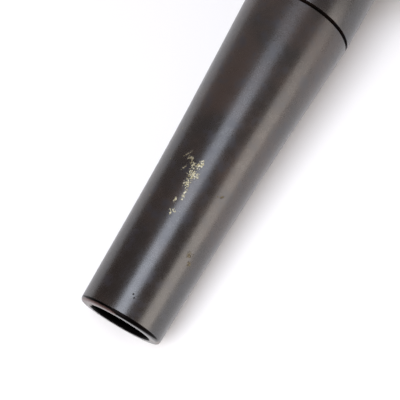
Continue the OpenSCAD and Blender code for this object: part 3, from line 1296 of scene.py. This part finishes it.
@dataclass
class ScrewSet:
    """Lock screws with hexagon sockets, and the slotted grease screw.

    Attributes hold the sizes in mm.
    """

    socket_share: float = 0.55
    point: float = 1.0
    top_bevel: float = 0.25
    slot_w: float = 0.8
    slot_depth: float = 1.2
    dome: float = 0.3
    cap_screw_low: float = 20.05
    cap_screw_top: float = 23.4
    cap_key: float = 1.5
    shank_key: float = 2.0
    sides: int = 48

    def set_screw(self, name: str, radius: float, bottom: float, top: float,
                  key: float) -> bpy.types.Object:
        """Models a set screw that stands on Z.

        Args:
            name: name of the piece.
            radius: radius in mm.
            bottom: lower end in mm.
            top: upper end in mm.
            key: width across the flats of the socket in mm.

        Returns:
            The screw.
        """
        screw = Lathe.turn(name, [(bottom, 0.0), (bottom, radius - self.point),
                                  (bottom + self.point, radius), (top - self.top_bevel, radius),
                                  (top, radius - self.top_bevel), (top, 0.0)], self.sides)
        depth = (top - bottom) * self.socket_share
        across = key / math.sqrt(3)
        socket = Lathe.turn("socket", [(top - depth - across * 0.3, 0.0), (top - depth, across),
                                       (top + 1.0, across), (top + 1.0, 0.0)], 6)
        Lathe.cut(screw, [socket])
        Lathe.stand_up(screw)
        return screw

    def slotted_plug(self, name: str, radius: float, bottom: float,
                     top: float) -> bpy.types.Object:
        """Models a slotted plug with a slightly domed head, standing on Z.

        Args:
            name: name of the piece.
            radius: radius in mm.
            bottom: lower end in mm.
            top: upper end in mm.

        Returns:
            The plug.
        """
        ball = (radius * radius + self.dome * self.dome) / (2 * self.dome)
        half = math.degrees(math.asin(radius / ball))
        plug = Lathe.turn(name, [(bottom, 0.0), (bottom, radius),
                                 *arc((top - ball, 0.0), ball, half, 0, 8)[:-1], (top, 0.0)],
                          self.sides)
        bpy.ops.object.select_all(action="DESELECT")
        bpy.ops.mesh.primitive_cube_add(size=MM)
        slot = bpy.context.object
        slot.data.transform(Matrix.Diagonal((2.0, self.slot_w, 2 * radius + 2, 1.0)))
        slot.data.transform(Matrix.Translation(((top - self.slot_depth + 1.0) * MM, 0, 0)))
        Lathe.cut(plug, [slot])
        Lathe.break_edges(plug, 0.06, 40)
        Lathe.stand_up(plug)
        return plug

    def build(self) -> None:
        """Models the screws and puts them in their CAD nodes' places."""
        finish = MetalFinish("black_screw_steel", (0.055, 0.055, 0.06), 0.34, 4000.0,
                             stain=(0.16, 0.12, 0.09), stained=0.6).material()
        low, high, _ = span("cap_lock_screws")
        first = self.set_screw("cap_set_screw", (high - low) / 2, self.cap_screw_low,
                               self.cap_screw_top, self.cap_key)
        copies = [first, *[Lathe.copy(first, f"cap_set_screw_{i}")
                           for i in range(1, len(CAP_SCREW_TURNS))]]
        for screw, turn in zip(copies, CAP_SCREW_TURNS):
            Lathe.put_on_radius(screw, turn, (low + high) / 2)
        place_piece(Lathe.join("cap_set_screws", copies), Body.HOUSING, Slot.SCREW, finish,
                    "cap_lock_screws")
        low, high, _ = span("shank_lock_screw")
        box_low, box_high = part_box("shank_lock_screw")
        screw = self.set_screw("shank_set_screw", (high - low) / 2, -box_high[2] / MM,
                               -box_low[2] / MM, self.shank_key)
        Lathe.put_on_radius(screw, SHANK_SCREW_TURN, (low + high) / 2)
        place_piece(screw, Body.HOUSING, Slot.SCREW, finish, "shank_lock_screw")
        low, high, _ = span("grease_screw")
        box_low, box_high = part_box("grease_screw")
        plug = self.slotted_plug("grease_plug", (high - low) / 2, box_low[2] / MM,
                                 box_high[2] / MM)
        Lathe.put_on_radius(plug, GREASE_SCREW_TURN, (low + high) / 2)
        place_piece(plug, Body.HOUSING, Slot.SCREW, finish, "grease_screw")


@dataclass
class SpindleLine:
    """Spindle and carbide point.

    Attributes hold the sizes in mm.
    """

    half_angle: float = 30.0
    tail_journal_r: float = 5.0
    thrust_r: float = 7.5
    journal_r: float = 8.5
    nose_r: float = 12.0
    neck_r: float = 11.0
    thrust_x: float = 86.0
    journal_x: float = 93.01
    groove_x: float = 94.85
    groove_w: float = 1.1
    groove_r: float = 8.1
    nose_x: float = 123.01
    nose_step: float = 1.0
    nose_bevel: float = 1.0
    relief_x: float = 139.0
    relief_r: float = 0.75
    relief_middle: tuple = (1.25, 0.45)
    land: float = 0.3
    land_bevel: float = 0.2
    cone_x: float = 142.0
    tip_r: float = 4.0
    tip_gap: float = 0.01
    edge: float = 0.4
    flat_r: float = 0.15
    flat_back: float = 0.05
    flat_bevel: float = 0.03
    steps: int = 192
    tip_steps: int = 96

    def __post_init__(self) -> None:
        """Works out the cone from the nose radius and the point's angle."""
        self.tangent = math.tan(math.radians(self.half_angle))
        self.tip_x = self.cone_x + self.nose_r / self.tangent
        self.tip_base = self.tip_x - self.tip_r / self.tangent
        self.tip_seat = span("center_tip")[0]
        self.back = span("spindle")[0]

    def spindle(self) -> None:
        """Models the spindle: journals, nose with its relief groove, and the cone."""
        seat_r = self.tip_r + self.tip_gap
        along, out = self.relief_middle
        land_x = self.cone_x - self.land
        points = [(self.back, 0.0), (self.back, self.tail_journal_r - self.edge),
                  (self.back + self.edge, self.tail_journal_r),
                  (self.thrust_x, self.tail_journal_r), (self.thrust_x, self.thrust_r),
                  (self.journal_x, self.thrust_r), (self.journal_x, self.journal_r),
                  (self.groove_x, self.journal_r), (self.groove_x, self.groove_r),
                  (self.groove_x + self.groove_w, self.groove_r),
                  (self.groove_x + self.groove_w, self.journal_r),
                  (self.nose_x, self.journal_r), (self.nose_x, self.neck_r),
                  (self.nose_x + self.nose_step, self.neck_r),
                  (self.nose_x + self.nose_step + self.nose_bevel, self.nose_r),
                  (self.relief_x, self.nose_r),
                  *arc((self.relief_x + along, self.neck_r + out), self.relief_r, 190, 350, 12),
                  (land_x - self.land_bevel, self.nose_r - self.land_bevel),
                  (land_x, self.nose_r), (self.cone_x, self.nose_r),
                  (self.tip_x - seat_r / self.tangent, seat_r),
                  (self.tip_seat - self.tip_gap, seat_r), (self.tip_seat - self.tip_gap, 0.0)]
        piece = Lathe.turn("spindle_nose", points, self.steps)
        Lathe.break_edges(piece, 0.12, 25)
        finish = MetalFinish("ground_spindle_steel", (0.58, 0.575, 0.57), 0.22, 5200.0, 0.0022,
                             seam=self.tip_x - seat_r / self.tangent).material()
        place_piece(piece, Body.SPINDLE, Slot.GROUND, finish, "spindle")

    def tip(self) -> None:
        """Models the carbide point."""
        end = self.tip_x - self.flat_r / self.tangent
        points = [(self.tip_seat, 0.0), (self.tip_seat, self.tip_r - self.edge),
                  (self.tip_seat + self.edge, self.tip_r), (self.tip_base, self.tip_r),
                  (end - self.flat_back, self.flat_r + self.flat_bevel),
                  (end, self.flat_r - self.flat_bevel), (end, 0.0)]
        piece = Lathe.turn("carbide_point", points, self.tip_steps)
        finish = MetalFinish("ground_carbide", (0.21, 0.215, 0.23), 0.17, 9000.0, 0.0012,
                             stain=(0.12, 0.11, 0.10), stained=0.25).material()
        place_piece(piece, Body.SPINDLE, Slot.CARBIDE, finish, "center_tip")

    def build(self) -> None:
        """Builds the spindle, then its point."""
        self.spindle()
        self.tip()


@dataclass
class CoolantFlinger:
    """Coolant flinger on the spindle's nose: a thin rim, a sloped face and a hub.

    Attributes hold the sizes in mm, and the ends and the rim come from the CAD node. Slope
    and foot are (distance from the back, depth under the rim).
    """

    bore: float = 12.01
    rim_w: float = 1.4
    rim_round: float = 0.35
    slope: tuple = (2.4, 1.5)
    foot: tuple = (2.9, 2.6)
    hub_wall: float = 1.99
    hub_round: float = 0.4
    steps: int = 192

    def build(self) -> None:
        """Models the flinger and puts it in the CAD node's place."""
        back, front, rim_r = span("flinger")
        rim = rim_r - self.rim_round
        hub = self.bore + self.hub_wall - self.hub_round
        falls = [(back + along, rim_r - down) for along, down in (self.slope, self.foot)]
        points = [(back, self.bore), (back, rim),
                  *arc((back + self.rim_round, rim), self.rim_round, 180, 90, 4),
                  *arc((back + self.rim_w - self.rim_round, rim), self.rim_round, 90, 45, 3),
                  *falls, *arc((front - self.hub_round, hub), self.hub_round, 70, 0, 4),
                  (front, self.bore)]
        piece = Lathe.turn("coolant_flinger", points, self.steps)
        finish = MetalFinish("turned_flinger_steel", (0.50, 0.50, 0.51), 0.30, 3200.0,
                             0.003).material()
        place_piece(piece, Body.SPINDLE, Slot.GROUND, finish, "flinger")


@dataclass
class Internals:
    """Bearings, seal, springs and spacers, which keep their CAD shapes and get finishes."""

    bearing: tuple[str, ...] = (
        "rear_bearing_outer_ring", "front_bearing_outer_ring", "rear_bearing_inner_ring",
        "front_bearing_inner_ring", "thrust_housing_washer", "thrust_shaft_washer")
    rolling: tuple[str, ...] = (
        "rear_bearing_balls", "front_bearing_balls", "thrust_balls", "needle_rollers")
    ground: tuple[str, ...] = (
        "needle_cup", "outer_spacer", "inner_spacer", "rear_bearing_shields",
        "front_bearing_shields", "garter_spring")
    dark: tuple[str, ...] = ("seal_case", "preload_spring", "spindle_circlip")
    brass: tuple[str, ...] = ("thrust_cage", "needle_cage")
    nylon: tuple[str, ...] = ("rear_bearing_cage", "front_bearing_cage")
    rubber: tuple[str, ...] = ("shank_o_ring", "cap_o_ring", "seal_lip")

    def build(self) -> None:
        """Dresses every internal node."""
        dress_nodes(self.bearing, MetalFinish("lapped_ring_steel", (0.62, 0.62, 0.63), 0.16,
                                              7000.0, 0.0012, stained=0.15).material())
        dress_nodes(self.rolling, MetalFinish("lapped_ball_steel", (0.70, 0.70, 0.71), 0.07,
                                              9000.0, 0.0005, stained=0.1).material())
        dress_nodes(self.ground, MetalFinish("ground_ring_steel", (0.55, 0.55, 0.55), 0.26,
                                             5000.0).material())
        dress_nodes(self.dark, MetalFinish("spring_steel", (0.10, 0.098, 0.10), 0.32, 3600.0,
                                           stain=(0.16, 0.13, 0.11)).material())
        dress_nodes(self.brass, MetalFinish("machined_brass", (0.70, 0.50, 0.22), 0.24, 4200.0,
                                            stain=(0.40, 0.27, 0.12)).material())
        dress_nodes(self.nylon, SoftFinish("cage_polyamide", (0.66, 0.60, 0.45),
                                           (0.56, 0.50, 0.36), 0.45).material())
        dress_nodes(self.rubber, SoftFinish("nitrile_rubber", (0.012, 0.012, 0.013),
                                            (0.022, 0.021, 0.021), 0.55).material())


@dataclass(frozen=True)
class SoftBox:
    """A long soft box beside the axis.

    Attributes:
        name: name of the light.
        angle: degrees about the axis from the camera's side, positive to its right.
        distance: distance from the axis in metres.
        width: width in metres.
        length: length along the axis in metres.
        slide: shift along the axis in metres.
        watts: power.
        colour: colour of the light.
    """

    name: str
    angle: float
    distance: float
    width: float
    length: float
    slide: float
    watts: float
    colour: tuple


@dataclass
class Studio:
    """Floor, lights and camera.

    Attributes:
        lens: focal length in mm on a 36 mm sensor.
        height: angle of the view above the horizontal plane through the axis, in degrees.
        abreast: how far behind the tail face the camera stands, in mm.
        stand_off: distance of the camera from the axis, in mm.
        aim_station: where it aims along the axis, in mm from the tail.
        aim_aside: how far beside the axis it aims, in mm.
        tail_r: radius of the tail, which rests on the floor, in mm.
        barrel_start: station where the full barrel begins, in mm.
        floor_size: side of the floor, in metres.
        floor_cells: cells along its side.
        boxes: the lights.
        room_tail: the room's colour square to the axis and behind the tail.
        room_point: the room's colour towards the point.
        room_turn: share of the way to the axis at which it is reached.
        backdrop: what the camera sees past the floor.
    """

    lens: float = 100.0
    height: float = 77.7
    abreast: float = 25.8
    stand_off: float = 243.1
    aim_station: float = 32.9
    aim_aside: float = 1.57
    tail_r: float = 9.9
    barrel_start: float = 89.7
    floor_size: float = 3.0
    floor_cells: int = 8
    boxes: tuple[SoftBox, ...] = (
        SoftBox("overhead", -12.2, 1.0, 0.48, 0.56, -0.02, 4.5, (0.81, 0.87, 1.0)),
        SoftBox("side_near", 61.0, 1.0, 0.58, 0.65, -0.135, 3.6, (1.0, 0.925, 0.86)),
        SoftBox("side_far", 61.0, 1.0, 0.58, 0.87, -0.065, 4.6, (1.0, 0.93, 0.87)),
        SoftBox("fill", -17.0, 1.0, 0.70, 0.80, -0.70, 15.6, (0.98, 0.99, 1.0)))
    room_tail: tuple = (0.225, 0.16, 0.138)
    room_point: tuple = (0.60, 0.572, 0.575)
    room_turn: float = 0.6
    backdrop: tuple = (0.90, 0.90, 0.90)

    def directions(self) -> tuple[Vector, Vector]:
        """Unit vectors square to the axis.

        Returns:
            The way towards the camera, and the way to its right side.
        """
        rise = math.radians(self.height)
        return (Vector((0, -math.cos(rise), math.sin(rise))),
                Vector((0, -math.sin(rise), -math.cos(rise))))

    def build(self, tail: float) -> None:
        """Sets up the studio.

        Args:
            tail: station of the tail face in mm.
        """
        foot, normal = self.floor_plane(tail)
        self.add_floor(foot, normal)
        self.add_camera(tail, normal)
        for box in self.boxes:
            self.add_light(box)
        self.set_world()
        bpy.context.scene.view_settings.view_transform = "Standard"

    def floor_plane(self, tail: float) -> tuple[Vector, Vector]:
        """Finds the floor that touches the tail and the barrel.

        Args:
            tail: station of the tail face in mm.

        Returns:
            A point of the floor and its normal.
        """
        barrel_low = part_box("housing")[0][2]
        tail_foot = Vector((tail * MM, 0, -self.tail_r * MM))
        barrel_foot = Vector((self.barrel_start * MM, 0, barrel_low))
        along = (barrel_foot - tail_foot).normalized()
        return tail_foot, Vector((-along.z, 0, along.x))

    def add_floor(self, foot: Vector, normal: Vector) -> None:
        """Adds the white sweep.

        Args:
            foot: a point of the floor.
            normal: its normal.
        """
        bpy.ops.object.select_all(action="DESELECT")
        bpy.ops.mesh.primitive_grid_add(x_subdivisions=self.floor_cells,
                                        y_subdivisions=self.floor_cells, size=self.floor_size)
        floor = bpy.context.object
        floor.name = "sweep"
        turn = Vector((0, 0, 1)).rotation_difference(normal).to_matrix().to_4x4()
        floor.data.transform(Matrix.Translation(foot) @ turn)
        floor.data.materials.append(PaperFinish().material())

    def add_camera(self, tail: float, level: Vector) -> None:
        """Adds the camera.

        Args:
            tail: station of the tail face in mm.
            level: the floor's normal, which the camera holds upright.
        """
        towards, aside = self.directions()
        base = Vector((tail * MM, 0, 0))
        eye = base - AXIS * self.abreast * MM + towards * self.stand_off * MM
        target = base + AXIS * self.aim_station * MM + aside * self.aim_aside * MM
        back = (eye - target).normalized()
        right = level.cross(back).normalized()
        up = back.cross(right)
        data = bpy.data.cameras.new("camera")
        data.lens = self.lens
        data.sensor_width = 36.0
        data.clip_start = 0.01
        camera = bpy.data.objects.new("camera", data)
        camera.matrix_world = (Matrix.Translation(eye)
                               @ Matrix((right, up, back)).transposed().to_4x4())
        bpy.context.scene.collection.objects.link(camera)
        bpy.context.scene.camera = camera

    def add_light(self, box: SoftBox) -> None:
        """Adds a soft box that faces the axis.

        Args:
            box: its place and power.
        """
        towards, aside = self.directions()
        swing = math.radians(box.angle)
        out = towards * math.cos(swing) + aside * math.sin(swing)
        data = bpy.data.lights.new(box.name, "AREA")
        data.shape = "RECTANGLE"
        data.size = box.length
        data.size_y = box.width
        data.energy = box.watts
        data.color = box.colour
        light = bpy.data.objects.new(box.name, data)
        turn = Matrix((AXIS, out.cross(AXIS), out)).transposed().to_4x4()
        light.matrix_world = (Matrix.Translation(out * box.distance + AXIS * box.slide) @ turn)
        bpy.context.scene.collection.objects.link(light)

    def set_world(self) -> None:
        """Sets a dim warm room, a little lighter towards the point, and a pale backdrop."""
        world = bpy.data.worlds.new("room")
        world.use_nodes = True
        tree = world.node_tree
        coords = tree.nodes.new("ShaderNodeTexCoord")
        split = tree.nodes.new("ShaderNodeSeparateXYZ")
        ramp = tree.nodes.new("ShaderNodeMapRange")
        blend = tree.nodes.new("ShaderNodeMix")
        blend.data_type = "RGBA"
        blend.inputs[6].default_value = rgba(self.room_tail)
        blend.inputs[7].default_value = rgba(self.room_point)
        ramp.interpolation_type = "SMOOTHSTEP"
        ramp.inputs["From Min"].default_value = 0.0
        ramp.inputs["From Max"].default_value = self.room_turn
        tree.links.new(coords.outputs["Generated"], split.inputs[0])
        tree.links.new(split.outputs["X"], ramp.inputs["Value"])
        tree.links.new(ramp.outputs["Result"], blend.inputs["Factor"])
        rays = tree.nodes.new("ShaderNodeLightPath")
        seen = tree.nodes.new("ShaderNodeMix")
        seen.data_type = "RGBA"
        seen.inputs[7].default_value = rgba(self.backdrop)
        tree.links.new(rays.outputs["Is Camera Ray"], seen.inputs["Factor"])
        tree.links.new(blend.outputs[2], seen.inputs[6])
        tree.links.new(seen.outputs[2], tree.nodes["Background"].inputs["Color"])
        bpy.context.scene.world = world


def main() -> None:
    logging.basicConfig(level=logging.INFO, format="%(name)s: %(message)s")
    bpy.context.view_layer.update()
    shank = Shank()
    shank.build()
    Housing().build()
    FrontCap().build()
    ScrewSet().build()
    SpindleLine().build()
    CoolantFlinger().build()
    Internals().build()
    Studio().build(shank.tail)


if __name__ == "__main__":
    main()
